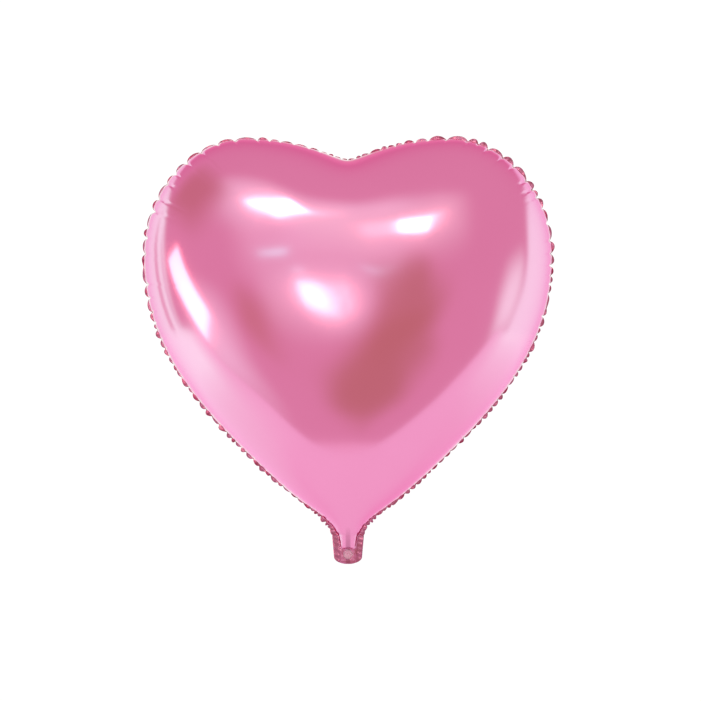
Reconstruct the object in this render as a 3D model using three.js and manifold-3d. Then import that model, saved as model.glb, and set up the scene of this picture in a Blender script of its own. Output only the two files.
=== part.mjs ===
// Heart-shaped foil balloon with a self-sealing valve tail, inflated.
// Millimetres, +Z up. The origin is the neck, where the ribbon is tied: the heart stands above it,
// the tail hangs below it. The front faces -Y, and the weld lies in the plane y = 0.

import * as THREE from 'three';
import { ParametricGeometry } from 'three/addons/geometries/ParametricGeometry.js';
import { mergeVertices } from 'three/addons/utils/BufferGeometryUtils.js';
import Module from 'manifold-3d';

const wasm = await Module();
wasm.setup();

// ---- Driving dimensions ------------------------------------------------------------------------

// Heart, measured to the weld line of the inflated envelope
const HEART_HALF_WIDTH = 177;     // centre line to the widest point of a lobe
const WIDEST_HEIGHT = 248;        // height of that point above the neck
const LOBE_TOP_X = 92;            // centre line to the crown of a lobe
const LOBE_TOP_HEIGHT = 348;      // crown of a lobe above the neck
const CLEFT_HEIGHT = 329;         // bottom of the cleft above the neck
const SHOULDER_X = 45;            // end of the curve that leads out of the neck
const SHOULDER_HEIGHT = 37;
const SHOULDER_ANGLE = 0.75;      // slope of the side there, radians from horizontal
const HALF_DEPTH = 97;            // weld plane to the crown of one panel
const CROWN_HEIGHT = 233;         // crown of both panels above the neck

// How far each curve of the seam runs straight on from its ends, as a share of the span it crosses
const NECK_FLARE = { leave: 0.16, arrive: 0.27 };
const SIDE_FULLNESS = { leave: 0.48, arrive: 0.42 };
const LOBE_ROUNDNESS = { leave: 0.59, arrive: 0.48 };
const CLEFT_ROUNDNESS = { leave: 0.58, arrive: 0.13 };

// How the inflated film falls from its crown to the seam
const SIDEWAYS_FLATNESS = 1;      // added to the exponent of 2 where the film falls sideways
const EDGE_ROUNDNESS = 0.6;       // exponent of the roll-over at the seam
const NECK_CONICALNESS = 0.25;    // added to it toward the neck

// Film and weld
const FILM = 0.8;                 // foil film, thickened for the solid model
const VALVE_FILM = 0.4;           // valve film, thickened for the solid model
const LAYER_GAP = 0.3;            // between any two layers of film
const WELD_WIDTH = 5;             // flat welded margin outside the seam

// Neck and tail
const NECK_HALF_WIDTH = 9.25;     // centre line to the seam inside the neck
const TAIL_LENGTH = 25.8;         // neck to the tail's lower end
const TAIL_TIP_HALF_WIDTH = 12.6; // outer half width where the rounded end begins
const TAIL_ROUND_START = 19;      // neck to the start of the rounded end
const TAIL_END_WELD = 1.5;        // weld across the tail's end, below the valve
const FOLD_DROP = 3;              // neck to the line that the tail folds about
const FOLD_CLEARANCE = 1.8;       // film left out on each side of the fold line

// Valve and inflation inlet
const VALVE_WIDTH = 12.5;
const VALVE_TONGUE_TOP = 62;      // top of the valve film above the neck
const INLET_DIAMETER = 8.6;
const INLET_DROP = 17.2;          // neck to the inlet's centre

// Mesh fineness
const NECK_STEPS = 3;
const CURVE_STEPS = [3, 13, 11, 9];
const OUTER_RINGS = 11;
const INNER_RINGS = 7;

// ---- Values that follow from them --------------------------------------------------------------

const FACE = LAYER_GAP / 2;                       // inner face of a film at the weld
const VALVE_INNER = LAYER_GAP / 2;                // inner face of a valve film
const VALVE_OUTER = VALVE_INNER + VALVE_FILM;
const CHANNEL_DEPTH = VALVE_OUTER + LAYER_GAP;    // inner face of the foil over the valve
const NECK_OUTER_HALF_WIDTH = NECK_HALF_WIDTH + WELD_WIDTH;
const ENVELOPE_END = -FOLD_DROP + FOLD_CLEARANCE;
const TAIL_START = -FOLD_DROP - FOLD_CLEARANCE;
const VALVE_END = -TAIL_LENGTH + TAIL_END_WELD + LAYER_GAP;
const NECK_SLEEVE_TOP = 2;                        // end of the parallel neck inside the heart
const VALVE_CLEAR_HALF_WIDTH = VALVE_WIDTH / 2 + LAYER_GAP;
const FAR = 2 * (HEART_HALF_WIDTH + LOBE_TOP_HEIGHT);

// ---- Solids ------------------------------------------------------------------------------------

// Turns a three.js geometry into a solid, with its faces pointing out.
function solid(geometry) {
  const bare = geometry.clone();
  bare.deleteAttribute('normal');
  bare.deleteAttribute('uv');
  const merged = mergeVertices(bare, 1e-4);
  const vertProperties = new Float32Array(merged.attributes.position.array);
  const corner = (index) => new THREE.Vector3().fromArray(vertProperties, 3 * index);
  const triangles = [];
  let volume = 0;
  for (let t = 0; t < merged.index.count; t += 3) {
    const [a, b, c] = [0, 1, 2].map((k) => merged.index.getX(t + k));
    if (a === b || b === c || c === a) continue;
    triangles.push([a, b, c]);
    volume += corner(a).dot(corner(b).cross(corner(c)));
  }
  if (volume < 0) triangles.forEach((triangle) => triangle.reverse());
  const triVerts = new Uint32Array(triangles.flat());
  return new wasm.Manifold(new wasm.Mesh({ numProp: 3, vertProperties, triVerts }));
}

// Turns a solid back into a three.js geometry.
function geometryOf(body) {
  const mesh = body.getMesh();
  const geometry = new THREE.BufferGeometry();
  geometry.setAttribute('position', new THREE.BufferAttribute(mesh.vertProperties, 3));
  geometry.setIndex(new THREE.BufferAttribute(mesh.triVerts, 1));
  geometry.computeVertexNormals();
  return geometry;
}

// A box given by its lowest and highest corners.
function block(low, high) {
  const size = high.map((value, axis) => value - low[axis]);
  const centre = high.map((value, axis) => (value + low[axis]) / 2);
  return solid(new THREE.BoxGeometry(...size).translate(...centre));
}

// A shape in x and z, extruded along Y from yLow to yHigh.
function plate(shape, yLow, yHigh) {
  const options = { depth: yHigh - yLow, bevelEnabled: false, curveSegments: 10 };
  const geometry = new THREE.ExtrudeGeometry(shape, options);
  return solid(geometry.rotateX(Math.PI / 2).translate(0, yHigh, 0));
}

// ---- Heart outline -----------------------------------------------------------------------------

const point = (x, z) => new THREE.Vector2(x, z);

// One curve of the seam, with its directions at both ends.
function seamCurve(start, leaving, end, arriving, span, share) {
  const first = start.clone().addScaledVector(leaving, share.leave * span);
  const second = end.clone().addScaledVector(arriving, -share.arrive * span);
  return new THREE.CubicBezierCurve(start, first, second, end);
}

// The seam's right half, from the middle of the neck up to the cleft.
function seamHalf() {
  const neck = point(NECK_HALF_WIDTH, 0);
  const shoulder = point(SHOULDER_X, SHOULDER_HEIGHT);
  const widest = point(HEART_HALF_WIDTH, WIDEST_HEIGHT);
  const lobeTop = point(LOBE_TOP_X, LOBE_TOP_HEIGHT);
  const cleft = point(0, CLEFT_HEIGHT);
  const up = point(0, 1);
  const inward = point(-1, 0);
  const slope = point(Math.cos(SHOULDER_ANGLE), Math.sin(SHOULDER_ANGLE));
  const sideRise = WIDEST_HEIGHT - SHOULDER_HEIGHT;
  const curves = [
    seamCurve(neck, up, shoulder, slope, SHOULDER_HEIGHT, NECK_FLARE),
    seamCurve(shoulder, slope, widest, up, sideRise, SIDE_FULLNESS),
    seamCurve(widest, up, lobeTop, inward, HEART_HALF_WIDTH - LOBE_TOP_X, LOBE_ROUNDNESS),
    seamCurve(lobeTop, inward, cleft, inward, LOBE_TOP_X, CLEFT_ROUNDNESS),
  ];
  const mouth = new THREE.LineCurve(point(0, 0), point(NECK_HALF_WIDTH, 0)).getPoints(NECK_STEPS);
  const sides = curves.flatMap((curve, i) => curve.getPoints(CURVE_STEPS[i]).slice(1));
  return [...mouth, ...sides];
}

const half = seamHalf();
const seam = [...half, ...half.slice(1, -1).reverse().map(({ x, y }) => point(-x, y))];

// The seam moved outwards by a distance, or inwards where it is negative.
function seamOffset(distance) {
  const count = seam.length;
  return seam.map((here, i) => {
    const before = seam[(i + count - 1) % count];
    const after = seam[(i + 1) % count];
    const along = after.clone().sub(before).normalize();
    return point(here.x + along.y * distance, here.y - along.x * distance);
  });
}

// ---- Envelope panels ---------------------------------------------------------------------------

// Height of the inflated film over the weld plane, as a share of its crown, at a share of the way
// from the crown to the seam. The film is fullest sideways and runs into the neck as a cone.
function fullness(share, rim) {
  const direction = point(rim.x, rim.y - CROWN_HEIGHT).normalize();
  const towardNeck = Math.max(0, -direction.y);
  const flatness = 2 + SIDEWAYS_FLATNESS * Math.abs(direction.x);
  const roundness = EDGE_ROUNDNESS + NECK_CONICALNESS * towardNeck * towardNeck;
  return Math.pow(Math.max(0, 1 - Math.pow(share, flatness)), roundness);
}

// One dished panel with its flat welded margin: outer skin, margin, then inner skin.
function dish() {
  const outerRim = seamOffset(0);
  const marginRim = seamOffset(WELD_WIDTH);
  const innerRim = seamOffset(-FILM);
  const ringCount = OUTER_RINGS + INNER_RINGS + 3;
  const skin = (rim, share, crown, face, target) => {
    const x = rim.x * share;
    const z = CROWN_HEIGHT + (rim.y - CROWN_HEIGHT) * share;
    target.set(x, -(face + crown * fullness(share, rim)), z);
  };
  const surface = (u, v, target) => {
    const i = Math.round(u * seam.length) % seam.length;
    const ring = Math.round(v * ringCount);
    if (ring <= OUTER_RINGS) {
      const rest = 1 - ring / OUTER_RINGS;
      skin(outerRim[i], 1 - rest * rest, HALF_DEPTH - FACE - FILM, FACE + FILM, target);
    } else if (ring <= OUTER_RINGS + 2) {
      const margin = marginRim[i];
      target.set(margin.x, ring === OUTER_RINGS + 1 ? -(FACE + FILM) : -FACE, margin.y);
    } else {
      const rest = (ring - OUTER_RINGS - 3) / INNER_RINGS;
      skin(innerRim[i], 1 - rest * rest, HALF_DEPTH - FACE - FILM, FACE, target);
    }
  };
  return solid(new ParametricGeometry(surface, seam.length, ringCount));
}

// The neck's section in front of the weld plane: flat margins, and a raised channel for the valve.
function neckSection(bottom, top) {
  const margin = block(
    [-NECK_OUTER_HALF_WIDTH, -(FACE + FILM), bottom],
    [NECK_OUTER_HALF_WIDTH, -FACE, top],
  );
  const channel = block(
    [-VALVE_CLEAR_HALF_WIDTH - FILM, -(CHANNEL_DEPTH + FILM), bottom],
    [VALVE_CLEAR_HALF_WIDTH + FILM, -FACE, top],
  );
  return margin.add(channel);
}

// The space that the valve takes inside the neck's section.
function valveSpace(bottom, top) {
  return block(
    [-VALVE_CLEAR_HALF_WIDTH, -CHANNEL_DEPTH, bottom],
    [VALVE_CLEAR_HALF_WIDTH, 1, top],
  );
}

// The front panel with its half of the neck, open to the tail and cut off above the fold line.
function frontPanel() {
  return dish()
    .add(neckSection(ENVELOPE_END, NECK_SLEEVE_TOP))
    .subtract(valveSpace(-FAR, NECK_SLEEVE_TOP + CHANNEL_DEPTH))
    .subtract(block([-FAR, -FAR, -FAR], [FAR, FAR, ENVELOPE_END]));
}

// ---- Tail --------------------------------------------------------------------------------------

// The tail seen from the front: a slight taper and a rounded end.
function tailShape() {
  const shape = new THREE.Shape();
  shape.moveTo(-NECK_OUTER_HALF_WIDTH, TAIL_START);
  shape.lineTo(-TAIL_TIP_HALF_WIDTH, -TAIL_ROUND_START);
  shape.quadraticCurveTo(-TAIL_TIP_HALF_WIDTH, -TAIL_LENGTH, 0, -TAIL_LENGTH);
  shape.quadraticCurveTo(TAIL_TIP_HALF_WIDTH, -TAIL_LENGTH, TAIL_TIP_HALF_WIDTH, -TAIL_ROUND_START);
  shape.lineTo(NECK_OUTER_HALF_WIDTH, TAIL_START);
  shape.closePath();
  return shape;
}

// The round hole that the inflator's nozzle goes into.
function inletHole() {
  const radius = INLET_DIAMETER / 2;
  const depth = 4 * (CHANNEL_DEPTH + FILM);
  return solid(new THREE.CylinderGeometry(radius, radius, depth, 24).translate(0, 0, -INLET_DROP));
}

// The tail's front film: channel open at the top and welded shut at the end.
function plainTailFilm() {
  return neckSection(-TAIL_LENGTH, TAIL_START)
    .intersect(plate(tailShape(), -2 * (CHANNEL_DEPTH + FILM), 0))
    .subtract(valveSpace(VALVE_END - LAYER_GAP, FAR));
}

// ---- Valve -------------------------------------------------------------------------------------

// The flat valve film in the tail, in front of the weld plane.
function valveRoot() {
  const halfWidth = VALVE_WIDTH / 2;
  return block([-halfWidth, -VALVE_OUTER, VALVE_END], [halfWidth, -VALVE_INNER, TAIL_START]);
}

// The same film inside the heart, free above the neck and with a rounded upper end.
function valveTongue() {
  const halfWidth = VALVE_WIDTH / 2;
  const shape = new THREE.Shape();
  shape.moveTo(-halfWidth, ENVELOPE_END);
  shape.lineTo(halfWidth, ENVELOPE_END);
  shape.lineTo(halfWidth, VALVE_TONGUE_TOP - halfWidth);
  shape.absarc(0, VALVE_TONGUE_TOP - halfWidth, halfWidth, 0, Math.PI, false);
  shape.closePath();
  return plate(shape, -VALVE_OUTER, -VALVE_INNER);
}

// ---- Assembly ----------------------------------------------------------------------------------

const FOIL = { color: 0xe67fb0, roughness: 0.22, metalness: 0.9 };
const FOIL_BACK = { color: 0xd873a4, roughness: 0.24, metalness: 0.9 };
const VALVE_FRONT = { color: 0xf3e9ee, roughness: 0.4, metalness: 0 };
const VALVE_BACK = { color: 0xe9dfe6, roughness: 0.4, metalness: 0 };

const group = new THREE.Group();

// Adds one named sub-part. One on the back is the same film turned half round the neck's axis.
function addPart(name, body, finish, turn = 0) {
  const mesh = new THREE.Mesh(geometryOf(body), new THREE.MeshStandardMaterial(finish));
  mesh.name = name;
  mesh.rotation.z = turn;
  group.add(mesh);
}

const panel = frontPanel();
const tailFilm = plainTailFilm();
const inlet = inletHole();

addPart('front_panel', panel, FOIL);
addPart('back_panel', panel, FOIL_BACK, Math.PI);
addPart('front_tail', tailFilm.subtract(inlet), FOIL);
addPart('back_tail', tailFilm, FOIL_BACK, Math.PI);
addPart('valve_front_root', valveRoot().subtract(inlet), VALVE_FRONT);
addPart('valve_back_root', valveRoot(), VALVE_BACK, Math.PI);
addPart('valve_front_tongue', valveTongue(), VALVE_FRONT);
addPart('valve_back_tongue', valveTongue(), VALVE_BACK, Math.PI);

export default group;
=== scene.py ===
"""Heart-shaped foil balloon: the visible films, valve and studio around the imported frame.

Metres, +Z up. The neck, where the ribbon is tied, is the origin. The weld lies in the plane y = 0,
and the front faces -Y.
"""

from __future__ import annotations

import logging
import math
from dataclasses import dataclass, field
from enum import Enum

import bpy
import numpy as np
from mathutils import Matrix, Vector


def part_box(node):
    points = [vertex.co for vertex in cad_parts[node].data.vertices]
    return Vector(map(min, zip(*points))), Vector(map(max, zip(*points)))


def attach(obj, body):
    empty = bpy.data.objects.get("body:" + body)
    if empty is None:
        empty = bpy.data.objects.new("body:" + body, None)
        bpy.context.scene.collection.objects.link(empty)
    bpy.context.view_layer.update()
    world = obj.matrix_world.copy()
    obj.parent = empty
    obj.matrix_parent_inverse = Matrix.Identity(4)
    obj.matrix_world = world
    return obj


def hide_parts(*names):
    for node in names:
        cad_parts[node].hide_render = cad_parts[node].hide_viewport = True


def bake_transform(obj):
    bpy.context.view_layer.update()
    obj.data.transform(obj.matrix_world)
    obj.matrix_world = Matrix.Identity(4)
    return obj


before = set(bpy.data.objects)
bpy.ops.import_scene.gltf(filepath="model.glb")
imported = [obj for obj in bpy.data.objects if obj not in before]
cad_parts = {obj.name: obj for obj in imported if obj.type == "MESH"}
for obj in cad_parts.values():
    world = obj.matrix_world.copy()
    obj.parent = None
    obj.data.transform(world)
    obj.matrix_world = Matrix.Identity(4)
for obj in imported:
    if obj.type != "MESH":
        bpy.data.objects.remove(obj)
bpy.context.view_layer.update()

LOG = logging.getLogger("foil_balloon")

MM = 0.001

Colour = tuple[float, float, float, float]
Point = tuple[float, float, float]
WHITE: Colour = (1.0, 1.0, 1.0, 1.0)


# ---- Shader graph ----


@dataclass(frozen=True)
class Signal:
    """An output socket that adds Math nodes when it is used in an expression."""

    graph: Graph
    socket: bpy.types.NodeSocket | None

    def _maths(self, operation: str, *values: Signal | float) -> Signal:
        """Add one Math node."""
        return self.graph.node("ShaderNodeMath", {"operation": operation}, dict(enumerate(values)))

    def __add__(self, other: Signal | float) -> Signal:
        """Sum."""
        return self._maths("ADD", self, other)

    def __radd__(self, other: float) -> Signal:
        """Sum, reflected."""
        return self._maths("ADD", other, self)

    def __sub__(self, other: Signal | float) -> Signal:
        """Difference."""
        return self._maths("SUBTRACT", self, other)

    def __rsub__(self, other: float) -> Signal:
        """Difference, reflected."""
        return self._maths("SUBTRACT", other, self)

    def __mul__(self, other: Signal | float) -> Signal:
        """Product."""
        return self._maths("MULTIPLY", self, other)

    def __rmul__(self, other: float) -> Signal:
        """Product, reflected."""
        return self._maths("MULTIPLY", other, self)

    def __truediv__(self, other: Signal | float) -> Signal:
        """Quotient."""
        return self._maths("DIVIDE", self, other)

    def dot(self, axis: Point | Signal) -> Signal:
        """Length along an axis."""
        settings = {"operation": "DOT_PRODUCT"}
        return self.graph.node("ShaderNodeVectorMath", settings, {0: self, 1: axis}, "Value")

    def power(self, exponent: float) -> Signal:
        """Raise to a power."""
        return self._maths("POWER", self, exponent)

    def clipped(self) -> Signal:
        """Limit to the range from 0 to 1."""
        return self._maths("MAXIMUM", self._maths("MINIMUM", self, 1.0), 0.0)

    def eased(self) -> Signal:
        """Limit to the range from 0 to 1, with soft ends."""
        limits = {"Value": self, 1: 0.0, 2: 1.0, 3: 0.0, 4: 1.0}
        return self.graph.node("ShaderNodeMapRange", {"interpolation_type": "SMOOTHSTEP"}, limits)


@dataclass(frozen=True)
class Graph:
    """The node tree of a material or a world, filled one node at a time."""

    tree: bpy.types.NodeTree

    def __post_init__(self) -> None:
        """Empty the tree."""
        self.tree.nodes.clear()

    def node(
        self,
        kind: str,
        settings: dict[str, object] | None = None,
        inputs: dict[object, object] | None = None,
        output: int | str = 0,
    ) -> Signal:
        """Add a node.

        Args:
            kind: The node's type.
            settings: Its own properties, which are set first.
            inputs: Values or links by socket name or number.
            output: The output socket to return.

        Returns:
            The chosen output.
        """
        node = self.tree.nodes.new(kind)
        for key, value in (settings or {}).items():
            setattr(node, key, value)
        for key, value in (inputs or {}).items():
            socket = node.inputs[key]
            if isinstance(value, Signal):
                self.tree.links.new(value.socket, socket)
            else:
                socket.default_value = value
        return Signal(self, node.outputs[output] if len(node.outputs) else None)

    def mix(self, share: Signal | float, first: object, second: object) -> Signal:
        """Mix two colours, or links to colours, by a share of the second."""
        settings = {"data_type": "RGBA"}
        return self.node("ShaderNodeMix", settings, {0: share, 6: first, 7: second}, output=2)

    def noise(self, place: Signal, scale: float, detail: float) -> Signal:
        """Add a noise texture, from 0 to 1, with a scale per metre and a number of octaves."""
        inputs = {"Vector": place, "Scale": scale, "Detail": detail}
        return self.node("ShaderNodeTexNoise", {}, inputs)

    def bump(self, height: Signal, strength: float, distance: float) -> Signal:
        """Turn a relief into a normal, with a strength from 0 to 1 and a depth in metres."""
        inputs = {"Strength": strength, "Distance": distance, "Height": height}
        return self.node("ShaderNodeBump", {}, inputs)

    def principled(self, inputs: dict[object, object]) -> None:
        """Add the material's shader and its output."""
        shader = self.node("ShaderNodeBsdfPrincipled", {}, inputs)
        self.node("ShaderNodeOutputMaterial", {}, {"Surface": shader})


def new_material(name: str) -> tuple[bpy.types.Material, Graph, Signal]:
    """Make an empty material.

    Args:
        name: The material's name.

    Returns:
        The material, its graph, and the place on the piece that wears it.
    """
    material = bpy.data.materials.new(name)
    material.use_nodes = True
    graph = Graph(material.node_tree)
    return material, graph, graph.node("ShaderNodeTexCoord", output="Object")


# ---- Finishes ----


@dataclass(frozen=True)
class FoilFinish:
    """Metallised pink film: a tinted mirror that is duller where the weld has crushed it, with painted
    shade that darkens the weld, the creases at its cusps, the seam's edge and the middle of the neck's
    channel.
    """

    name: str
    tint: Colour
    deep_tint: Colour
    edge_tint: Colour = (0.92, 0.37, 0.58, 1.0)
    # The dark rose of the painted shade on the weld, in the creases and down the channel.
    painted_shade_tint: Colour = (0.46, 0.105, 0.21, 1.0)
    roughness: float = 0.13
    weld_roughness: float = 0.16
    coat: float = 0.10
    coat_roughness: float = 0.06
    coat_ior: float = 1.4
    cloud_scale: float = 9.0
    streak_scale: float = 55.0
    crinkle_scale: float = 420.0
    relief: float = 0.9 * MM
    relief_strength: float = 0.16

    def build(self) -> bpy.types.Material:
        """Make the material.

        Returns:
            The foil's material.
        """
        material, graph, place = new_material(self.name)
        crush_and_shade = graph.node("ShaderNodeAttribute", {"attribute_name": "crush_and_painted_shade"}, output="Fac")
        cloud = graph.noise(place, self.cloud_scale, 3.0)
        streak = graph.noise(place, self.streak_scale, 4.0)
        crinkle = graph.noise(place, self.crinkle_scale, 2.0)
        tint = graph.mix((cloud * 1.6 - 0.45).clipped(), self.tint, self.deep_tint)
        # Painted shade: the tint darkens toward the dark rose where the film is crushed or painted as
        # shaded, unevenly along the streaks.
        tint = graph.mix(crush_and_shade * (0.75 + 0.5 * streak), tint, self.painted_shade_tint)
        roughness = self.roughness + 0.03 * cloud + 0.02 * streak + self.weld_roughness * crush_and_shade
        height = cloud * 0.8 + streak * 0.1 + crinkle * (0.01 + 0.12 * crush_and_shade)
        graph.principled(
            {
                "Base Color": tint,
                "Metallic": 1.0,
                "Roughness": roughness,
                "Specular Tint": self.edge_tint,
                "Coat Weight": self.coat,
                "Coat Roughness": self.coat_roughness,
                "Coat IOR": self.coat_ior,
                "Normal": graph.bump(height, self.relief_strength, self.relief),
            }
        )
        return material


@dataclass(frozen=True)
class ValveFinish:
    """Thin milky polyethylene, slightly rippled, painted pink to stand in for the light it takes from
    the foil around it.
    """

    name: str
    # Painted light: both pinks stand in for the light the film takes from the foil around it.
    film: Colour = (0.90, 0.24, 0.46, 1.0)
    haze: Colour = (0.98, 0.55, 0.76, 1.0)
    haze_scale: float = 160.0
    ripple_scale: float = 700.0
    relief: float = 0.4 * MM
    relief_strength: float = 0.3
    ior: float = 1.5

    def build(self) -> bpy.types.Material:
        """Make the material.

        Returns:
            The valve film's material.
        """
        material, graph, place = new_material(self.name)
        haze = graph.noise(place, self.haze_scale, 3.0)
        ripple = graph.noise(place, self.ripple_scale, 2.0)
        graph.principled(
            {
                "Base Color": graph.mix(haze, self.film, self.haze),
                "Roughness": 0.25 + 0.2 * haze,
                "Alpha": 0.42 + 0.25 * haze,
                "IOR": self.ior,
                "Normal": graph.bump(haze + ripple * 0.3, self.relief_strength, self.relief),
            }
        )
        return material


@dataclass(frozen=True)
class FloorFinish:
    """White paper that glows like a light table, with a pool of painted light behind the balloon to
    its left and right.
    """

    name: str = "white_paper"
    body: Colour = (0.05, 0.05, 0.05, 1.0)
    glow: Colour = (0.745, 0.99, 0.93, 1.0)
    bright_glow: Colour = (0.765, 1.0, 0.94, 1.0)
    painted_side_light: Colour = (0.86, 2.2, 1.45, 1.0)
    strength: float = 1.25
    roughness: float = 0.8
    grain_scale: float = 40.0
    side_light_reach: float = 0.9

    def build(self) -> bpy.types.Material:
        """Make the material.

        Returns:
            The paper's material.
        """
        material, graph, place = new_material(self.name)
        colour = graph.mix(graph.noise(place, self.grain_scale, 3.0), self.glow, self.bright_glow)
        # Painted light: a pool of brighter glow on the paper behind the balloon, to its left and
        # right.
        across = place.dot((1.0, 0.0, 0.0))
        behind = (place.dot((0.0, 1.0, 0.0)) + self.side_light_reach).clipped()
        spread = place.dot(place).power(0.5)
        left = (spread * 0.80 - 1.22).clipped() * (0.5 - across * 0.5).clipped()
        right = (spread * 0.50 - 0.92).clipped() * (0.5 + across * 0.5).clipped() * 0.85
        colour = graph.mix((left + right).clipped() * behind, colour, self.painted_side_light)
        graph.principled(
            {
                "Base Color": self.body,
                "Roughness": self.roughness,
                "Emission Color": colour,
                "Emission Strength": self.strength,
            }
        )
        return material


# ---- Shape of the inflated heart ----


class Side(Enum):
    """The two films of the envelope, and the way each one bulges along Y."""

    FRONT = -1
    BACK = 1


def unit(values: np.ndarray | float) -> np.ndarray:
    """Limit to the range from 0 to 1."""
    return np.clip(values, 0.0, 1.0)


def cubic(points: list[tuple[float, float]], count: int) -> np.ndarray:
    """Sample a cubic Bezier curve.

    Args:
        points: Its four control points.
        count: The number of samples.

    Returns:
        The samples, one row each.
    """
    a, b, c, d = (np.array(point) for point in points)
    t = np.linspace(0.0, 1.0, count)[:, None]
    return (1 - t) ** 3 * a + 3 * (1 - t) ** 2 * t * b + 3 * (1 - t) * t * t * c + t**3 * d


@dataclass
class HeartOutline:
    """The weld line of the inflated heart, from the same sizes as the solid frame.

    Each pull is the length of a curve's handle, as a share of the curve's width or height.
    """

    half_width: float
    lobe_top_height: float
    weld_width: float = 0.005
    neck_half_width: float = 0.00925
    shoulder: tuple[float, float] = (0.045, 0.037)
    shoulder_angle: float = 0.75
    widest_height: float = 0.248
    lobe_top_x: float = 0.092
    cleft_height: float = 0.329
    crown_height: float = 0.209
    throat_height: float = 0.017
    throat_waist: float = 0.0068
    neck_pull: float = 0.16
    shoulder_pull: float = 0.27
    flank_pull: float = 0.48
    side_pull: float = 0.42
    lobe_pull: float = 0.59
    crown_pull: float = 0.48
    inner_pull: float = 0.58
    cleft_pull: float = 0.13
    curve_samples: int = 400

    @classmethod
    def from_frame(cls) -> HeartOutline:
        """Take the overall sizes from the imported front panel."""
        low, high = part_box("front_panel")
        return cls(half_width=high[0] - cls.weld_width, lobe_top_height=high[2] - cls.weld_width)

    def right_half(self) -> np.ndarray:
        """Sample the seam from the neck's corner up to the cleft.

        Returns:
            Points in x and z.
        """
        sx, sz = self.shoulder
        along = (math.cos(self.shoulder_angle), math.sin(self.shoulder_angle))
        rise = self.widest_height - sz
        run = self.half_width - self.lobe_top_x
        crown = self.lobe_top_height - self.widest_height
        corner = (self.neck_half_width, 0.0)
        widest = (self.half_width, self.widest_height)
        top = (self.lobe_top_x, self.lobe_top_height)
        cleft = (0.0, self.cleft_height)
        down, up = self.shoulder_pull, self.flank_pull
        shoulder_handles = (
            (sx - along[0] * down * sz, sz - along[1] * down * sz),
            (sx + along[0] * up * rise, sz + along[1] * up * rise),
        )
        lobe_handle = (widest[0], widest[1] + self.lobe_pull * crown)
        crown_handle = (top[0] + self.crown_pull * run, top[1])
        inner_handle = (top[0] - self.inner_pull * top[0], top[1])
        curves = [
            [corner, (corner[0], self.neck_pull * sz), shoulder_handles[0], (sx, sz)],
            [(sx, sz), shoulder_handles[1], (widest[0], widest[1] - self.side_pull * rise), widest],
            [widest, lobe_handle, crown_handle, top],
            [top, inner_handle, (self.cleft_pull * top[0], cleft[1]), cleft],
        ]
        parts = [cubic(points, self.curve_samples) for points in curves]
        half = np.vstack([parts[0]] + [part[1:] for part in parts[1:]])
        climb = half[:, 1] / self.throat_height
        half[:, 0] -= self.throat_waist * climb**3 * np.exp(3.0 * (1.0 - climb))
        return half


@dataclass
class SeamRing:
    """The closed seam, evenly divided: the neck's mouth, the right side, then the left side."""

    outline: HeartOutline
    mouth_half_count: int = 12
    side_count: int = 708
    growth: float = 4.6 * MM
    settle_length: float = 14 * MM

    def __post_init__(self) -> None:
        """Divide the outline."""
        side = self.outline.right_half()
        steps = np.r_[0.0, np.cumsum(np.linalg.norm(np.diff(side, axis=0), axis=1))]
        at = np.linspace(0.0, steps[-1], self.side_count + 1)
        right = np.c_[np.interp(at, steps, side[:, 0]), np.interp(at, steps, side[:, 1])]
        mouth = np.linspace(0.0, self.outline.neck_half_width, self.mouth_half_count + 1)
        half = np.vstack([np.c_[mouth, 0.0 * mouth], right[1:]])
        self.points = np.vstack([half, half[-2:0:-1] * [-1.0, 1.0]])
        self.count = len(self.points)
        self.side_length = float(steps[-1])
        self.step = self.side_length / self.side_count
        along = np.roll(self.points, -1, axis=0) - np.roll(self.points, 1, axis=0)
        outward = np.c_[along[:, 1], -along[:, 0]]
        self.outward = outward / np.linalg.norm(outward, axis=1)[:, None]
        climbed, _ = self.side_place()
        settle = unit(climbed / self.settle_length) * ~self.is_mouth()
        self.points = self.points + self.outward * (self.growth * settle)[:, None]
        # At the two corners of the mouth the weld runs straight on into the tail.
        self.outward[self.mouth_half_count] = (1.0, 0.0)
        self.outward[-self.mouth_half_count] = (-1.0, 0.0)

    def is_mouth(self) -> np.ndarray:
        """Mark the columns strictly inside the mouth."""
        index = np.arange(self.count)
        return (index < self.mouth_half_count) | (index > self.count - self.mouth_half_count)

    def outward_3d(self) -> np.ndarray:
        """Give each column's outward direction in x, y and z."""
        return np.c_[self.outward[:, 0], np.zeros(self.count), self.outward[:, 1]]

    def side_place(self) -> tuple[np.ndarray, np.ndarray]:
        """Find each column's place on its side.

        Returns:
            The distance climbed from the neck, and 1 on the right side or -1 on the left.
        """
        index = np.arange(self.count)
        right = index <= self.count // 2
        climbed = np.where(right, index, self.count - index) - self.mouth_half_count
        return np.clip(climbed, 0, self.side_count) * self.step, np.where(right, 1, -1)


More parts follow.
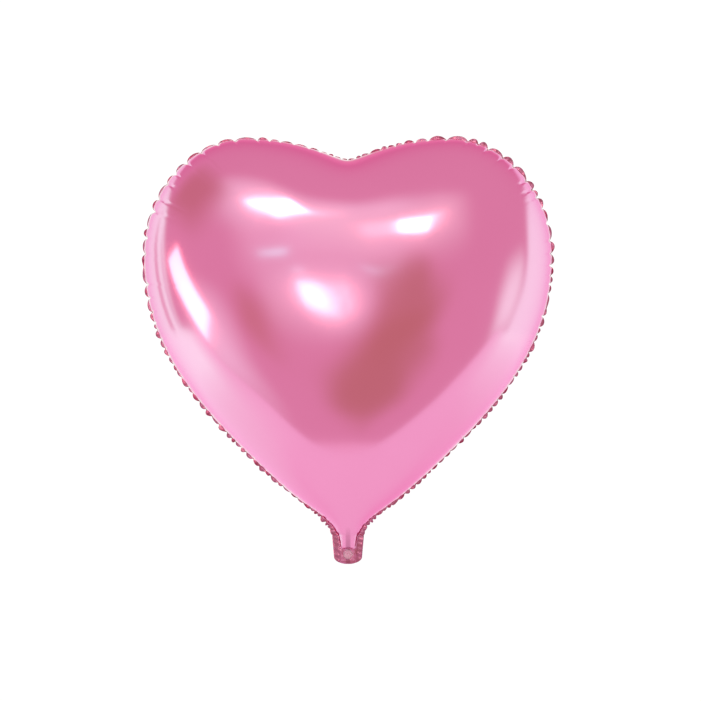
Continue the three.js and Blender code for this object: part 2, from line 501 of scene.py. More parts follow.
@dataclass
class Membrane:
    """Height of a film blown up by even pressure inside the seam, from 0 at it to 1 at the crown.

    A stretched membrane's height is a paraboloid plus the logarithms of sources laid just outside
    the seam, weighted so that they cancel the paraboloid along it. A real film can't stretch, so
    that height is then made fuller toward the seam.
    """

    ring: SeamRing
    source_gap: float = 14 * MM
    crown_flatness: float = 1.21
    edge_roundness: float = 0.563
    scale: float = 0.1
    channel_depth: float = 12.3 * MM
    channel_end: float = 6.2 * MM
    channel_gap: float = 4 * MM
    neck_gap: float = 5 * MM
    neck_length: float = 45 * MM
    gap_length: float = 60 * MM
    wall_count: int = 24

    def __post_init__(self) -> None:
        """Find the sources' weights."""
        climbed, _ = self.ring.side_place()
        side = ~self.ring.is_mouth()
        index = np.arange(self.ring.count)
        near = climbed < self.neck_length
        opening = unit(climbed / self.gap_length)
        gap = self.neck_gap + (self.source_gap - self.neck_gap) * opening
        outside = self.ring.points + self.ring.outward * gap[:, None]
        sources = outside[side & (index % np.where(near, 4, 8) == 0)]
        seam = self.ring.points[side & (index % np.where(near, 2, 4) == 0)]
        self.sources = np.vstack([sources, self._channel_wall(self.channel_gap)[::3]])
        seam = np.vstack([seam, self._channel_wall(0.0)])
        terms = self._terms(seam)
        bowl = (seam**2).sum(1) / (2.0 * self.scale) ** 2
        self.weights = np.linalg.lstsq(terms, bowl, rcond=1e-10)[0]
        trial = np.c_[np.zeros(80), np.linspace(0.1, 0.3, 80)]
        self.top = 1.0
        self.top = float(self._raw(trial).max())

    def channel_half_width(self, z: float) -> float:
        """Half width of the gas channel below the neck."""
        down = min(max(-z / self.channel_depth, 0.0), 1.0)
        return self.ring.outline.neck_half_width * (1 - down) + self.channel_end * down

    def _channel_wall(self, gap: float) -> np.ndarray:
        """Walk round the channel below the neck.

        Args:
            gap: How far outside the channel's walls to walk.

        Returns:
            Points in x and z, down one wall, across the end and up the other wall.
        """
        heights = np.linspace(-0.4 * MM, -self.channel_depth - gap, self.wall_count)
        right = np.array([(self.channel_half_width(z) + gap, z) for z in heights])
        across = np.linspace(right[-1, 0], -right[-1, 0], self.wall_count)[1:-1]
        bottom = np.c_[across, np.full(len(across), heights[-1])]
        return np.vstack([right, bottom, right[::-1] * [-1.0, 1.0]])

    def _terms(self, places: np.ndarray) -> np.ndarray:
        """Evaluate each source, and a constant, at each place."""
        gap = ((places[:, None] - self.sources[None]) ** 2).sum(-1)
        return np.c_[0.5 * np.log(gap / self.scale**2), np.ones(len(places))]

    def _raw(self, places: np.ndarray) -> np.ndarray:
        """Evaluate the stretched membrane."""
        bowl = (places**2).sum(1) / (2.0 * self.scale) ** 2
        return unit((self._terms(places) @ self.weights - bowl) / self.top)

    def height(self, places: np.ndarray) -> np.ndarray:
        """Evaluate the film's height.

        Args:
            places: Points in x and z, along the last axis.

        Returns:
            Shares of the crown's height.
        """
        flat = places.reshape(-1, 2)
        raw = np.concatenate([self._raw(part) for part in np.array_split(flat, 40)])
        full = (1.0 - (1.0 - raw) ** self.crown_flatness) ** self.edge_roundness
        return full.reshape(places.shape[:-1])


@dataclass(frozen=True)
class GatherZone:
    """How the weld gathers at one place on the way from the neck to the cleft."""

    share: float
    spacing: float
    depth: float
    reach: float
    margin: float


@dataclass
class Gathers:
    """The puckers of the weld: sharp cusps between rounded lobes, at uneven spacing."""

    ring: SeamRing
    seed: int = 11
    missing_share: float = 0.06
    lobes_per_drift: int = 5
    zones: tuple[GatherZone, ...] = (
        GatherZone(0.00, 6.0 * MM, 0.5 * MM, 7 * MM, 4.6 * MM),
        GatherZone(0.07, 6.0 * MM, 0.9 * MM, 9 * MM, 3.4 * MM),
        GatherZone(0.16, 7.0 * MM, 1.3 * MM, 9 * MM, 3.0 * MM),
        GatherZone(0.42, 7.5 * MM, 1.6 * MM, 10 * MM, 2.8 * MM),
        GatherZone(0.52, 11.0 * MM, 3.2 * MM, 17 * MM, 2.6 * MM),
        GatherZone(0.72, 12.0 * MM, 3.6 * MM, 19 * MM, 3.4 * MM),
        GatherZone(0.84, 15.0 * MM, 3.4 * MM, 15 * MM, 4.6 * MM),
        GatherZone(0.92, 9.0 * MM, 1.7 * MM, 9 * MM, 2.6 * MM),
        GatherZone(1.00, 6.5 * MM, 0.8 * MM, 6 * MM, 2.0 * MM),
    )

    def __post_init__(self) -> None:
        """Gather both sides."""
        draw = np.random.default_rng(self.seed)
        count = self.ring.count
        self.depth, self.reach, self.lobe, self.turn, self.crescent = np.zeros((5, count))
        for side in (1, -1):
            self._gather(side, draw)

    def at(self, share: np.ndarray, name: str) -> np.ndarray:
        """Interpolate one of the zones' sizes, at shares from 0 at the neck to 1 at the cleft."""
        places = [zone.share for zone in self.zones]
        return np.interp(share, places, [getattr(zone, name) for zone in self.zones])

    def _cusps(self, draw: np.random.Generator) -> np.ndarray:
        """Walk up one side, one uneven lobe after another.

        Args:
            draw: The source of random numbers.

        Returns:
            How far up the side each cusp is.
        """
        places = [0.0]
        while places[-1] < self.ring.side_length:
            spacing = self.at(np.array(places[-1] / self.ring.side_length), "spacing")
            places.append(places[-1] + float(spacing) * draw.uniform(0.65, 1.4))
        places[-1] = self.ring.side_length
        return np.array(places)

    def _gather(self, side: int, draw: np.random.Generator) -> None:
        """Choose one side's cusps and lobes, and lay them out over its columns.

        Args:
            side: 1 for the right side or -1 for the left.
            draw: The source of random numbers.
        """
        climbed, sign = self.ring.side_place()
        columns = np.nonzero(sign == side)[0]
        climbed = climbed[columns]
        share = climbed / self.ring.side_length
        cusps = self._cusps(draw)
        count = len(cusps)
        rank = draw.uniform(0.6, 1.25, count) * (draw.random(count) > self.missing_share)
        length = draw.uniform(0.6, 1.5, count)
        lobe = np.clip(np.searchsorted(cusps, climbed, side="right") - 1, 0, count - 2)
        across = unit((climbed - cusps[lobe]) / (cusps[lobe + 1] - cusps[lobe]))
        nearest = np.where(across < 0.5, lobe, lobe + 1)
        self.lobe[columns] = 1.0 - np.abs(2.0 * across - 1.0)
        self.depth[columns] = self.at(share, "depth") * rank[nearest]
        self.reach[columns] = self.at(share, "reach") * length[nearest]
        # The weld shows as a crescent beyond each lobe, widest at a place of its own.
        knots = np.arange(0, count + self.lobes_per_drift, self.lobes_per_drift)
        drift = np.interp(np.arange(count), knots, draw.uniform(0.4, 1.35, len(knots)))
        amount = draw.uniform(0.35, 1.25, count)
        skew = 2.0 ** draw.uniform(-1.1, 1.1, count)
        arch = unit(np.sin(math.pi * across ** skew[lobe])) ** 0.75
        self.crescent[columns] = np.interp(climbed, cusps, drift) * (0.28 + 0.72 * amount[lobe] * arch)
        # Lobes lean to the front and to the back in turn.
        lean = np.where(lobe % 2 == 0, 1.0, -1.0) * np.sin(math.pi * across)
        self.turn[columns] = lean * draw.uniform(0.2, 1.0, count)[lobe]


@dataclass
class MeshDraft:
    """Vertices and faces that grow row by row."""

    points: list[np.ndarray] = field(default_factory=list)
    # Per vertex, how crushed and rough the film is and how far painted shade darkens it.
    crush_and_painted_shade: list[np.ndarray] = field(default_factory=list)
    faces: list[list[int]] = field(default_factory=list)
    size: int = 0

    def add(self, rows: np.ndarray, crush_and_shade: np.ndarray | float = 0.0) -> np.ndarray:
        """Add vertices.

        Args:
            rows: One vertex each.
            crush_and_shade: How crushed and rough the film is there, and how far painted shade darkens
                it, from 0 to 1.

        Returns:
            Their numbers.
        """
        self.points.append(np.asarray(rows, float))
        self.crush_and_painted_shade.append(np.broadcast_to(crush_and_shade, len(rows)).astype(float))
        numbers = np.arange(self.size, self.size + len(rows))
        self.size += len(rows)
        return numbers

    def all_points(self) -> np.ndarray:
        """Join the vertices into one array."""
        return np.vstack(self.points)

    def strip(self, lower: np.ndarray, upper: np.ndarray, closed: bool) -> None:
        """Join two rows of the same length with quads.

        Args:
            lower: The first row's vertex numbers.
            upper: The second row's.
            closed: Whether the rows run all the way round.
        """
        last = len(lower) if closed else len(lower) - 1
        for i in range(last):
            j = (i + 1) % len(lower)
            self.faces.append([int(lower[i]), int(lower[j]), int(upper[j]), int(upper[i])])

    def halving_strip(self, lower: np.ndarray, upper: np.ndarray) -> None:
        """Join a closed row to a row of half its length.

        Args:
            lower: The longer row's vertex numbers.
            upper: The shorter row's.
        """
        for i, near in enumerate(upper):
            j = (i + 1) % len(upper)
            a, b, c = (int(lower[(2 * i + k) % len(lower)]) for k in range(3))
            self.faces.append([a, b, int(near)])
            self.faces.append([b, c, int(upper[j]), int(near)])


@dataclass
class HeartFilm:
    """One film of the balloon: dished heart, puckered weld, neck and tail, as one sheet."""

    side: Side
    outline: HeartOutline
    ring: SeamRing
    membrane: Membrane
    gathers: Gathers
    half_depth: float
    tail_end: float
    seed: int
    ring_count: int = 66
    thinned_rings: tuple[int, ...] = (18, 32)
    weld_rows: int = 5
    film_gap: float = 0.06 * MM
    sway: float = 1.0 * MM
    sway_reach: float = 7 * MM
    lean_length: float = 24 * MM
    full_gather: float = 3 * MM
    calm_length: float = 60 * MM
    waves: tuple[tuple[float, float], ...] = ((0.16, 0.7 * MM), (0.09, 0.3 * MM), (0.05, 0.1 * MM))
    # Painted shade: the strip down the middle of the neck's channel, and the band along the seam.
    shade_strip_half_width: float = 2.6 * MM
    shade_strip_height: float = 9 * MM
    seam_shade_reach: float = 1.3 * MM
    weld_settle: float = 16 * MM
    weld_tilt: float = 0.5 * MM
    ruffle: float = 0.12 * MM
    ruffle_lengths: tuple[float, float] = (0.62 * MM, 2.3 * MM)
    weld_line: float = -12.3 * MM
    sleeve_depth: float = 0.85 * MM
    sleeve_half_width: float = 7.4 * MM
    crumple: float = 0.085 * MM
    crumple_seed: int = 5
    tail_rows: int = 46
    tip_half_width: float = 12.6 * MM
    round_start: float = -19.0 * MM
    inlet_radius: float = 4.3 * MM
    inlet_height: float = -17.2 * MM
    inlet_snap: tuple[float, float] = (0.92, 1.14)

    def ring_shares(self) -> np.ndarray:
        """Choose the rings: close together at the seam and wide apart toward the crown."""
        growth = np.linspace(0.0, 1.0, self.ring_count)
        return 0.28 * growth + 0.72 * growth**2.1

    def wobble(self, place: np.ndarray) -> np.ndarray:
        """Add up the long soft waves of the stretched film.

        Args:
            place: Points in x, y and z.

        Returns:
            The height of the waves at each point.
        """
        draw = np.random.default_rng(self.seed)
        total = np.zeros(len(place))
        for wavelength, height in self.waves:
            for _ in range(4):
                angle = draw.uniform(0.0, math.tau)
                phase = draw.uniform(0.0, math.tau)
                along = place[:, 0] * math.cos(angle) + place[:, 2] * math.sin(angle)
                total += height * 0.5 * np.sin(math.tau * along / wavelength + phase)
        return total

    def dish(self, draft: MeshDraft) -> tuple[np.ndarray, np.ndarray, np.ndarray]:
        """Add the dished heart.

        Args:
            draft: The mesh to add to.

        Returns:
            The numbers of the seam's vertices, then each vertex's column and distance from the seam.
        """
        ring = self.ring
        crown = np.array([0.0, self.outline.crown_height])
        coarse = 1.0 - np.linspace(0.0, 1.0, 120)[:, None] ** 2
        flat = crown + coarse[..., None] * (ring.points - crown)
        height = self.height(flat)
        path = np.sqrt((np.diff(flat, axis=0) ** 2).sum(-1) + np.diff(height, axis=0) ** 2)
        walked = np.vstack([np.zeros(ring.count), np.cumsum(path, axis=0)])
        below = None
        columns = np.arange(ring.count)
        all_columns, distances = [], []
        for row, share in enumerate(self.ring_shares()[:-1]):
            if row in self.thinned_rings:
                columns = columns[::2]
            at = share * walked[-1, columns]
            spoke = [np.interp(a, walked[:, c], coarse[:, 0]) for a, c in zip(at, columns)]
            place = crown + np.array(spoke)[:, None] * (ring.points[columns] - crown)
            level = self.side.value * self.height(place)
            numbers = draft.add(np.c_[place[:, 0], level, place[:, 1]])
            distances.append(at)
            if below is None:
                seam_numbers = numbers
            elif row in self.thinned_rings:
                draft.halving_strip(below, numbers)
            else:
                draft.strip(below, numbers, closed=True)
            below = numbers
            all_columns.append(columns)
        top = self.side.value * float(self.height(crown[None])[0])
        pole = draft.add([[0.0, top, self.outline.crown_height]])
        distances.append(np.array([float(walked[-1].mean())]))
        all_columns.append(np.array([0]))
        for i in range(len(below)):
            j = (i + 1) % len(below)
            draft.faces.append([int(below[i]), int(below[j]), int(pole[0])])
        return seam_numbers, np.concatenate(all_columns), np.concatenate(distances)

    def height(self, place: np.ndarray) -> np.ndarray:
        """Distance of the film from the weld plane at points in x and z."""
        return self.half_depth * self.membrane.height(place)

    def pucker(self, draft: MeshDraft, columns: np.ndarray, distances: np.ndarray) -> None:
        """Pull the film in at each cusp of the weld, less and less away from it, and paint shade into
        its creases, along the seam and down the middle of the neck's channel.

        Args:
            draft: The mesh, with only the dish in it.
            columns: Each vertex's column.
            distances: How far each vertex is from the seam.
        """
        points = draft.all_points()
        gathers = self.gathers
        outward = self.ring.outward_3d()[columns]
        reach = gathers.reach[columns]
        fade = np.exp(-((distances / reach) ** 1.4))
        away = unit(gathers.lobe[columns] * (1.0 + distances / (0.6 * reach)))
        notch = 0.55 * (1.0 - away) ** 2 + 0.45 * (1.0 - away) ** 6
        pull = gathers.depth[columns] * notch * fade
        lean = 0.5 * math.pi * (1.0 - np.exp(-distances / self.lean_length))
        inward = -outward * np.cos(lean)[:, None]
        inward[:, 1] -= self.side.value * np.sin(lean)
        depth_share = unit(gathers.depth[columns] / self.full_gather)
        points = points + inward * pull[:, None]
        sway = self.sway * gathers.turn[columns] * depth_share
        points[:, 1] += sway * np.exp(-((distances / self.sway_reach) ** 2))
        calm = unit(distances / self.calm_length) ** 1.5
        points[:, 1] += self.side.value * self.wobble(points) * calm
        draft.points = [points]
        # Painted shade: a darker strip down the middle of the neck's channel, fading out a little way
        # up the heart.
        strip = unit((self.shade_strip_half_width - np.abs(points[:, 0])) / MM)
        strip *= 0.4 * unit(1.0 - points[:, 2] / self.shade_strip_height)
        # Painted shade in the crease at each cusp of the weld.
        painted_crease_shade = 0.8 * unit(1.0 - 3.0 * away) * fade**2 * depth_share
        # Painted shade along the seam, where the film turns into the weld, but not across the mouth.
        edge = np.where(self.ring.is_mouth()[columns], 0.0, 0.7)
        edge = edge * np.exp(-((distances / self.seam_shade_reach) ** 2))
        draft.crush_and_painted_shade = [np.maximum.reduce([painted_crease_shade, strip, edge])]

    def weld(self, draft: MeshDraft, seam: np.ndarray) -> list[np.ndarray]:
        """Add the flat welded margin outside the seam.

        Args:
            draft: The mesh to add to.
            seam: The numbers of the seam's vertices.

        Returns:
            The rows of vertex numbers from the seam outwards, closed round the heart.
        """
        gathers = self.gathers
        points = draft.all_points()[seam]
        climbed, _ = self.ring.side_place()
        width = gathers.at(climbed / self.ring.side_length, "margin")
        settle = unit(climbed / self.weld_settle)
        width = width * ((0.04 + 0.96 * gathers.crescent) * settle + (1.0 - settle))
        outward = self.ring.outward_3d()
        tilt = np.array([0.0, 1.0, 0.0]) * (gathers.turn * settle)[:, None]
        short, long = self.ruffle_lengths
        ruffle = np.sin(climbed / short) * np.sin(climbed / long) * settle
        rows = [seam]
        for row in range(1, self.weld_rows + 1):
            share = row / self.weld_rows
            place = points + outward * (width * share)[:, None]
            place = place + tilt * (self.weld_tilt * share**1.5)
            place[:, 1] += self.ruffle * ruffle * share + self.side.value * self.film_gap
            # The weld is crushed and rougher, and painted shade darkens it, more so toward its outer
            # edge.
            rows.append(draft.add(place, min(1.0, 0.4 + share)))
        keep = np.nonzero(~self.ring.is_mouth())[0]
        for lower, upper in zip(rows[1:], rows[:-1]):
            draft.strip(lower[keep], upper[keep], closed=False)
        return rows

    def build(self) -> bpy.types.Object:
        """Make the whole film.

        Returns:
            The film's object.
        """
        draft = MeshDraft()
        seam, columns, distances = self.dish(draft)
        self.pucker(draft, columns, distances)
        self.tail(draft, self.weld(draft, seam))
        vertices = draft.all_points()
        used = sorted({number for face in draft.faces for number in face})
        renumber = {old: new for new, old in enumerate(used)}
        faces = [[renumber[number] for number in face] for face in draft.faces]
        if self.side is Side.BACK:
            faces = [face[::-1] for face in faces]
        name = f"{self.side.name.lower()}_foil"
        piece = sheet_object(name, vertices[used], faces)
        # The per-vertex crushing and painted shade, read by the foil's material.
        crush_and_shade = piece.data.attributes.new("crush_and_painted_shade", "FLOAT", "POINT")
        crush_and_shade.data.foreach_set("value", np.concatenate(draft.crush_and_painted_shade)[used].astype(np.float32))
        return piece

    def tail(self, draft: MeshDraft, rows: list[np.ndarray]) -> None:
        """Add the neck's channel and the flat tail below it.

        Args:
            draft: The mesh to add to.
            rows: The weld's rows, from the seam outwards.
        """
        half = self.ring.mouth_half_count
        mouth = [(i % self.ring.count) for i in range(-half, half + 1)]
        left = [int(row[-half]) for row in rows[:0:-1]]
        right = [int(row[half]) for row in rows[1:]]
        top = np.array(left + [int(rows[0][i]) for i in mouth] + right)
        draw = np.random.default_rng(self.crumple_seed)
        waves = draw.uniform((120.0, 350.0, 0.0), (900.0, 1500.0, math.tau), (9, 3))
        above = top
        grid = [top]
        for z in np.linspace(0.0, self.tail_end, self.tail_rows)[1:]:
            inner, outer = self.tail_section(z)
            channel = np.linspace(-inner, inner, len(mouth))
            margin = np.linspace(-outer, -inner, self.weld_rows + 1)[:-1]
            x = np.r_[margin, channel, -margin[::-1]]
            place = np.c_[x, np.full(len(x), z)]
            puffed = self.height(place) * (np.abs(x) < inner) * (z > self.weld_line)
            settled = unit(-z / (3 * MM))
            sleeve = unit((self.sleeve_half_width - np.abs(x)) / (0.9 * MM))
            sleeve *= unit((z - self.tail_end) / (2.5 * MM)) * settled
            y = np.sqrt(puffed**2 + (self.sleeve_depth * sleeve) ** 2)
            flatness = unit(1.0 - y / (2.2 * MM))
            crumple = sum(self.crumple * np.sin(a * x + b * z + c) for a, b, c in waves)
            crumple = crumple * (0.3 + 0.9 * flatness) * unit(-z / (4 * MM))
            level = self.side.value * (y + self.film_gap) + crumple
            # Painted shade: the strip down the channel grows darker down the tail, and the flat welded
            # parts are crushed and rougher, with painted shade darkening them too.
            strip = unit((self.shade_strip_half_width - np.abs(x)) / MM)
            strip *= 0.4 + 0.03 * -z / MM
            crush_and_shade = np.maximum(0.85 * flatness, strip)
            numbers = draft.add(np.c_[x, level, np.full(len(x), z)], crush_and_shade)
            draft.strip(numbers, above, closed=False)
            above = numbers
            grid.append(numbers)
        if self.side is Side.FRONT:
            self.cut_inlet(draft, np.array(grid))

    def tail_section(self, z: float) -> tuple[float, float]:
        """Sizes of the tail at one height.

        Args:
            z: The height, below the neck.

        Returns:
            The channel's half width and the tail's half width.
        """
        inner = self.membrane.channel_half_width(z)
        outer_top = self.outline.neck_half_width + self.outline.weld_width
        below = unit(z / self.round_start)
        outer = outer_top * (1 - below) + self.tip_half_width * below
        rounding = unit((z - self.round_start) / (self.tail_end - self.round_start))
        outer *= math.sqrt(max(1.0 - rounding**2.2, 0.05))
        return min(inner, 0.6 * outer), outer

    def cut_inlet(self, draft: MeshDraft, grid: np.ndarray) -> None:
        """Open the round inlet in the tail's front film.

        Args:
            draft: The mesh to cut.
            grid: The tail's vertex numbers, row by row.
        """
        vertices = draft.all_points()
        centre = np.array([0.0, self.inlet_height])
        numbers = grid[1:].ravel()
        flat = vertices[numbers][:, [0, 2]] - centre
        distance = np.linalg.norm(flat, axis=1)
        low, high = (self.inlet_radius * share for share in self.inlet_snap)
        inside = set(numbers[distance < low].tolist())
        draft.faces = [face for face in draft.faces if not inside & set(face)]
        near = (distance >= low) & (distance < high)
        snapped = centre + flat[near] / distance[near][:, None] * self.inlet_radius
        vertices[numbers[near], 0] = snapped[:, 0]
        vertices[numbers[near], 2] = snapped[:, 1]
        draft.points = [vertices]


def sheet_object(name: str, vertices: np.ndarray, faces: list[list[int]]) -> bpy.types.Object:
    """Make a smooth-shaded object.

    Args:
        name: The piece's name.
        vertices: Its vertices, in metres.
        faces: Its faces.

    Returns:
        The object, linked to the scene.
    """
    mesh = bpy.data.meshes.new(name)
    mesh.from_pydata(vertices.tolist(), [], faces)
    mesh.validate()
    mesh.polygons.foreach_set("use_smooth", [True] * len(mesh.polygons))
    mesh.update()
    piece = bpy.data.objects.new(name, mesh)
    bpy.context.scene.collection.objects.link(piece)
    return piece


def thicken(piece: bpy.types.Object, thickness: float) -> None:
    """Give a sheet its thickness.

    Args:
        piece: The sheet.
        thickness: Its thickness, in metres.
    """
    modifier = piece.modifiers.new("thickness", "SOLIDIFY")
    modifier.thickness = thickness
    modifier.offset = 0.0
    bpy.context.view_layer.objects.active = piece
    with bpy.context.temp_override(object=piece, active_object=piece):
        bpy.ops.object.modifier_apply(modifier=modifier.name)


@dataclass
class Envelope:
    """Both foil films, welded round the rim."""

    outline: HeartOutline
    film_thickness: float = 0.08 * MM
    flat_size: tuple[float, float] = (0.458, 0.444)
    flat_area: float = 0.148

    def build(self) -> list[bpy.types.Object]:
        """Make and dress both films, in place of the solid panels and tails.

        Returns:
            The two films.
        """
        ring = SeamRing(self.outline)
        membrane = Membrane(ring)
        gathers = Gathers(ring)
        low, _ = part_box("front_panel")
        tail_low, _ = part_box("front_tail")
        pink = FoilFinish("pink_foil_front", (0.88, 0.235, 0.455, 1.0), (0.85, 0.22, 0.43, 1.0))
        rose = FoilFinish("pink_foil_back", (0.86, 0.225, 0.44, 1.0), (0.83, 0.21, 0.415, 1.0))
        pieces = []
        for side, finish, nodes in (
            (Side.FRONT, pink, ("front_panel", "front_tail")),
            (Side.BACK, rose, ("back_panel", "back_tail")),
        ):
            film = HeartFilm(
                side=side,
                outline=self.outline,
                ring=ring,
                membrane=membrane,
                gathers=gathers,
                half_depth=-low[1],
                tail_end=tail_low[2],
                seed=23 if side is Side.FRONT else 41,
            )
            piece = film.build()
            thicken(piece, self.film_thickness)
            piece.data.materials.append(finish.build())
            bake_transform(piece)
            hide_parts(*nodes)
            pieces.append(piece)
        return pieces


class ValvePart(Enum):
    """Stretches of a valve film that ride on different bodies."""

    STEM = "root"
    LEAF = "tongue"


@dataclass
class Valve:
    """The two clinging films that close by themselves under the gas pressure."""

    ripple: float = 0.12 * MM
    ripple_lengths: tuple[float, float] = (1.7 * MM, 5.0 * MM)
    blunt_tip: float = 0.05
    columns: int = 12
    thickness: float = 0.05 * MM

    def build(self) -> list[bpy.types.Object]:
        """Make, dress and attach the four stretches of valve film.

        Returns:
            The stretches.
        """
        finish = ValveFinish("valve_film").build()
        pieces = []
        for face, sign in (("front", -1.0), ("back", 1.0)):
            for part in ValvePart:
                node = f"valve_{face}_{part.value}"
                piece = self.stretch(node, sign, part)
                piece.data.materials.append(finish)
                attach(piece, "tail" if part is ValvePart.STEM else f"valve_{face}")
                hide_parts(node)
                pieces.append(piece)
        return pieces

    def stretch(self, node: str, sign: float, part: ValvePart) -> bpy.types.Object:
        """Make one stretch of valve film in its solid's place.

        Args:
            node: The solid that it stands for.
            sign: Its side of the weld plane along Y.
            part: Which stretch it is.

        Returns:
            The film's object.
        """
        low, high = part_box(node)
        half = (high[0] - low[0]) / 2.0
        rows = max(8, int((high[2] - low[2]) / MM))
        rest = (low[1] + high[1]) / 2.0
        draft = MeshDraft()
        below = None
        for z in np.linspace(low[2], high[2], rows + 1):
            width = half
            if part is ValvePart.LEAF and z > high[2] - half:
                blunt = (self.blunt_tip * half) ** 2
                width = math.sqrt(max(half**2 - (z - high[2] + half) ** 2, blunt))
            across = np.linspace(-width, width, self.columns + 1)
            ripple = self.ripple * np.sin(across / self.ripple_lengths[0] + z / self.ripple_lengths[1])
            numbers = draft.add(np.c_[across, rest + ripple * sign, np.full(len(across), z)])
            if below is not None:
                draft.strip(below, numbers, closed=False)
            below = numbers
        piece = sheet_object(f"{node}_film", draft.all_points(), draft.faces)
        thicken(piece, self.thickness)
        return piece


# ---- Studio ----


@dataclass(frozen=True)
class RoomPatch:
    """A soft-edged patch of the room, such as a white panel or a dark doorway."""

    azimuth: float
    elevation: float
    half_width: float
    half_height: float
    edge: float
    colour: Colour
    roll: float = 0.0

    def mask(self, direction: Signal) -> Signal:
        """Make the patch's mask.

        Args:
            direction: The direction looked at from the balloon.

        Returns:
            A signal of 1 inside the patch and 0 outside it.
        """
        turn, rise, roll = (math.radians(a) for a in (self.azimuth, self.elevation, self.roll))
        ahead = np.array(
            [math.sin(turn) * math.cos(rise), -math.cos(turn) * math.cos(rise), math.sin(rise)]
        )
        level = np.cross([0.0, 0.0, 1.0], ahead)
        level /= np.linalg.norm(level)
        up = np.cross(ahead, level)
        across = level * math.cos(roll) + up * math.sin(roll)
        along = up * math.cos(roll) - level * math.sin(roll)
        depth = direction.dot(tuple(ahead))
        sideways = direction.dot(tuple(across / math.tan(math.radians(self.half_width))))
        upright = direction.dot(tuple(along / math.tan(math.radians(self.half_height))))
        reach = (sideways / depth).power(4.0) + (upright / depth).power(4.0)
        inside = ((1.0 + self.edge - reach.power(0.25)) / (2.0 * self.edge)).eased()
        return inside * (depth * 20.0).clipped()


@dataclass(frozen=True)
class Softbox:
    """A rectangular light, aimed at the balloon."""

    name: str
    place: Point
    size: tuple[float, float]
    power: float
    colour: Point = (1.0, 1.0, 1.0)
    roll: float = 0.0

    def build(self, target: Point) -> None:
        """Make the light.

        Args:
            target: The point it faces.
        """
        light = bpy.data.lights.new(self.name, "AREA")
        light.shape = "RECTANGLE"
        light.size, light.size_y = self.size
        light.energy = self.power
        light.color = self.colour
        lamp = bpy.data.objects.new(self.name, light)
        lamp.location = self.place
        lamp.rotation_euler = aim(self.place, target)
        lamp.rotation_euler.rotate_axis("Z", math.radians(self.roll))
        bpy.context.scene.collection.objects.link(lamp)


def aim(place: Point, target: Point) -> tuple:
    """Find the rotation that points -Z at a target with Y upwards."""
    return (Vector(target) - Vector(place)).to_track_quat("-Z", "Y").to_euler()


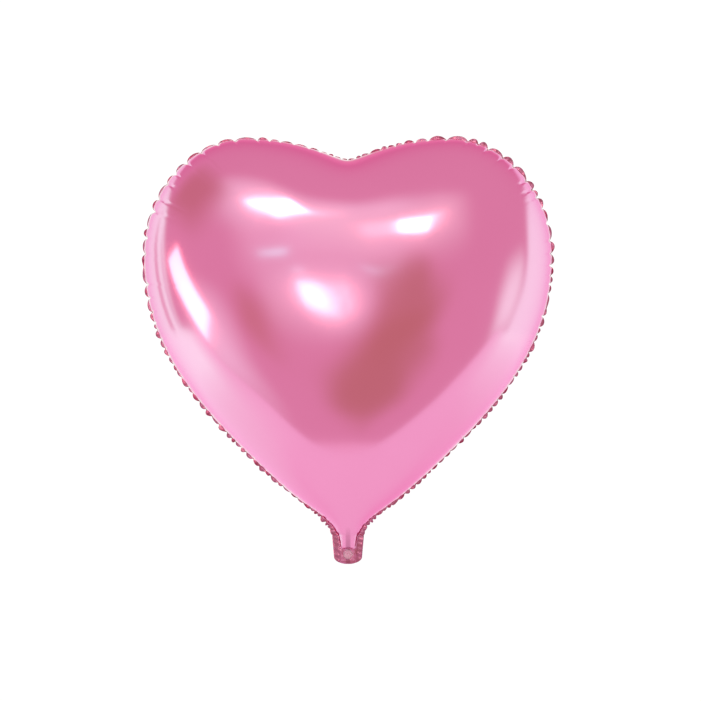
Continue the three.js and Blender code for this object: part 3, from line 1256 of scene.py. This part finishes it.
@dataclass
class Studio:
    """White surroundings, soft lights and the camera."""

    frame_width: float = 0.624
    distance: float = 2.4
    centre: Point = (0.0022, 0.0, 0.1642)
    floor_height: float = -1.2
    paper_front: float = -0.85
    paper_back: float = 6.0
    paper_half_width: float = 4.0
    paper_dip: float = 0.78
    backdrop_edge: float = 0.7
    room_strength: float = 1.0
    plain_strength: float = 1.05
    sensor: float = 36.0
    wall: Colour = (0.80, 0.79, 0.79, 1.0)
    paper: Colour = (1.0, 1.25, 1.17, 1.0)
    lamp: Point = (1.0, 1.0, 0.62)
    backdrop: Colour = (0.95, 1.1, 1.0, 1.0)
    patches: tuple[RoomPatch, ...] = (
        RoomPatch(-9, 34, 20, 20, 0.9, (0.98, 1.42, 1.2, 1.0)),
        RoomPatch(-20, 52, 22, 13, 0.9, (1.0, 1.75, 1.35, 1.0)),
        RoomPatch(18, 39, 16, 14, 0.9, (1.0, 1.65, 1.25, 1.0)),
        RoomPatch(-9, 4, 11, 9, 0.9, (1.0, 1.7, 1.35, 1.0)),
        RoomPatch(14, -15, 12, 24, 0.7, (0.58, 0.52, 0.35, 1.0), -22),
        RoomPatch(16, 8, 8, 9, 0.8, (0.60, 0.55, 0.40, 1.0)),
        RoomPatch(12, -28, 17, 9, 0.7, (0.59, 0.54, 0.38, 1.0)),
        RoomPatch(-21.5, 21.8, 3.4, 1.8, 0.5, (1.0, 3.2, 2.2, 1.0)),
        RoomPatch(-12, 12.5, 2.6, 1.0, 0.5, (1.0, 2.6, 1.9, 1.0)),
        RoomPatch(5.6, 15.2, 2.6, 1.0, 0.5, (1.0, 2.6, 1.9, 1.0)),
        RoomPatch(-32, -8, 9, 9, 0.8, (0.68, 0.62, 0.51, 1.0), -20),
        RoomPatch(-85, 42, 20, 14, 0.7, (0.64, 0.57, 0.47, 1.0)),
        RoomPatch(-66, -22, 14, 16, 0.9, (1.0, 1.7, 1.35, 1.0)),
        RoomPatch(-139, -8, 40, 38, 0.10, (1.10, 2.9, 1.85, 1.0)),
        RoomPatch(-112, -14, 3.2, 30, 0.5, (0.9, 1.15, 1.0, 1.0), 8),
        RoomPatch(-101, -14, 1.6, 28, 0.5, (0.9, 1.5, 1.2, 1.0), 8),
        RoomPatch(137, -4, 46, 34, 0.14, (1.10, 2.5, 1.75, 1.0)),
        RoomPatch(80, -7, 8, 13, 0.8, (1.08, 2.4, 1.65, 1.0), 14),
    )

    def build(self) -> None:
        """Make the floor, the surroundings, the lights and the camera."""
        self.surroundings()
        self.floor()
        for lamp in self.lamps():
            lamp.build(self.centre)
        self.camera()

    def lamps(self) -> tuple[Softbox, ...]:
        """List the studio's lights.

        Returns:
            The lights, from the left to the front.
        """
        return (
            Softbox("left_window", (-1.606, -0.372, 0.11), (0.46, 0.98), 4.8, self.lamp, 34),
            Softbox("top_left_box", (-0.397, -0.996, 1.483), (0.50, 0.28), 2.9, self.lamp, 42),
            Softbox("top_right_box", (0.425, -1.262, 1.222), (0.44, 0.29), 3.0, self.lamp, -3),
            Softbox("front_box", (-0.30, -2.07, 0.34), (0.36, 0.31), 1.5, self.lamp, 6),
        )

    def surroundings(self) -> None:
        """Make the white room: bright above, below and behind, dimmer toward the front."""
        world = bpy.data.worlds.new("white_room")
        bpy.context.scene.world = world
        world.use_nodes = True
        graph = Graph(world.node_tree)
        gaze = graph.node("ShaderNodeTexCoord", output="Generated")
        below = ((-self.paper_dip - gaze.dot((0, 0, 1))) / 0.05).eased()
        behind = ((gaze.dot((0, 1, 0)) - self.backdrop_edge) / 0.15).eased()
        colour = graph.mix(below, self.wall, self.paper)
        colour = graph.mix(behind, colour, self.backdrop)
        for patch in self.patches:
            colour = graph.mix(patch.mask(gaze), colour, patch.colour)
        lit, plain = (
            graph.node("ShaderNodeBackground", {}, {"Color": shade, "Strength": strength})
            for shade, strength in ((colour, self.room_strength), (WHITE, self.plain_strength))
        )
        seen = graph.node("ShaderNodeLightPath", output="Is Camera Ray")
        both = graph.node("ShaderNodeMixShader", {}, {0: seen, 1: lit, 2: plain})
        graph.node("ShaderNodeOutputWorld", {}, {"Surface": both})

    def floor(self) -> None:
        """Lay a wide sheet of white paper under the balloon."""
        width, front, back = self.paper_half_width, self.paper_front, self.paper_back
        corners = [(-width, front), (width, front), (width, back), (-width, back)]
        vertices = np.array([(x, y, self.floor_height) for x, y in corners])
        floor = sheet_object("paper_floor", vertices, [[0, 1, 2, 3]])
        floor.data.materials.append(FloorFinish().build())

    def camera(self) -> None:
        """Make the camera, level and straight in front of the balloon."""
        data = bpy.data.cameras.new("camera")
        data.sensor_width = self.sensor
        data.lens = self.sensor * self.distance / self.frame_width
        data.dof.use_dof = False
        camera = bpy.data.objects.new("camera", data)
        camera.location = (self.centre[0], -self.distance, self.centre[2])
        camera.rotation_euler = aim(tuple(camera.location), self.centre)
        bpy.context.scene.collection.objects.link(camera)
        bpy.context.scene.camera = camera


def main() -> None:
    """Build the balloon and its studio, and report each piece."""
    logging.basicConfig(level=logging.INFO, format="%(message)s")
    bpy.context.scene.view_settings.view_transform = "Standard"
    outline = HeartOutline.from_frame()
    Studio().build()
    for piece in Envelope(outline).build() + Valve().build():
        LOG.info("%s: %d faces", piece.name, len(piece.data.polygons))


if __name__ == "__main__":
    main()
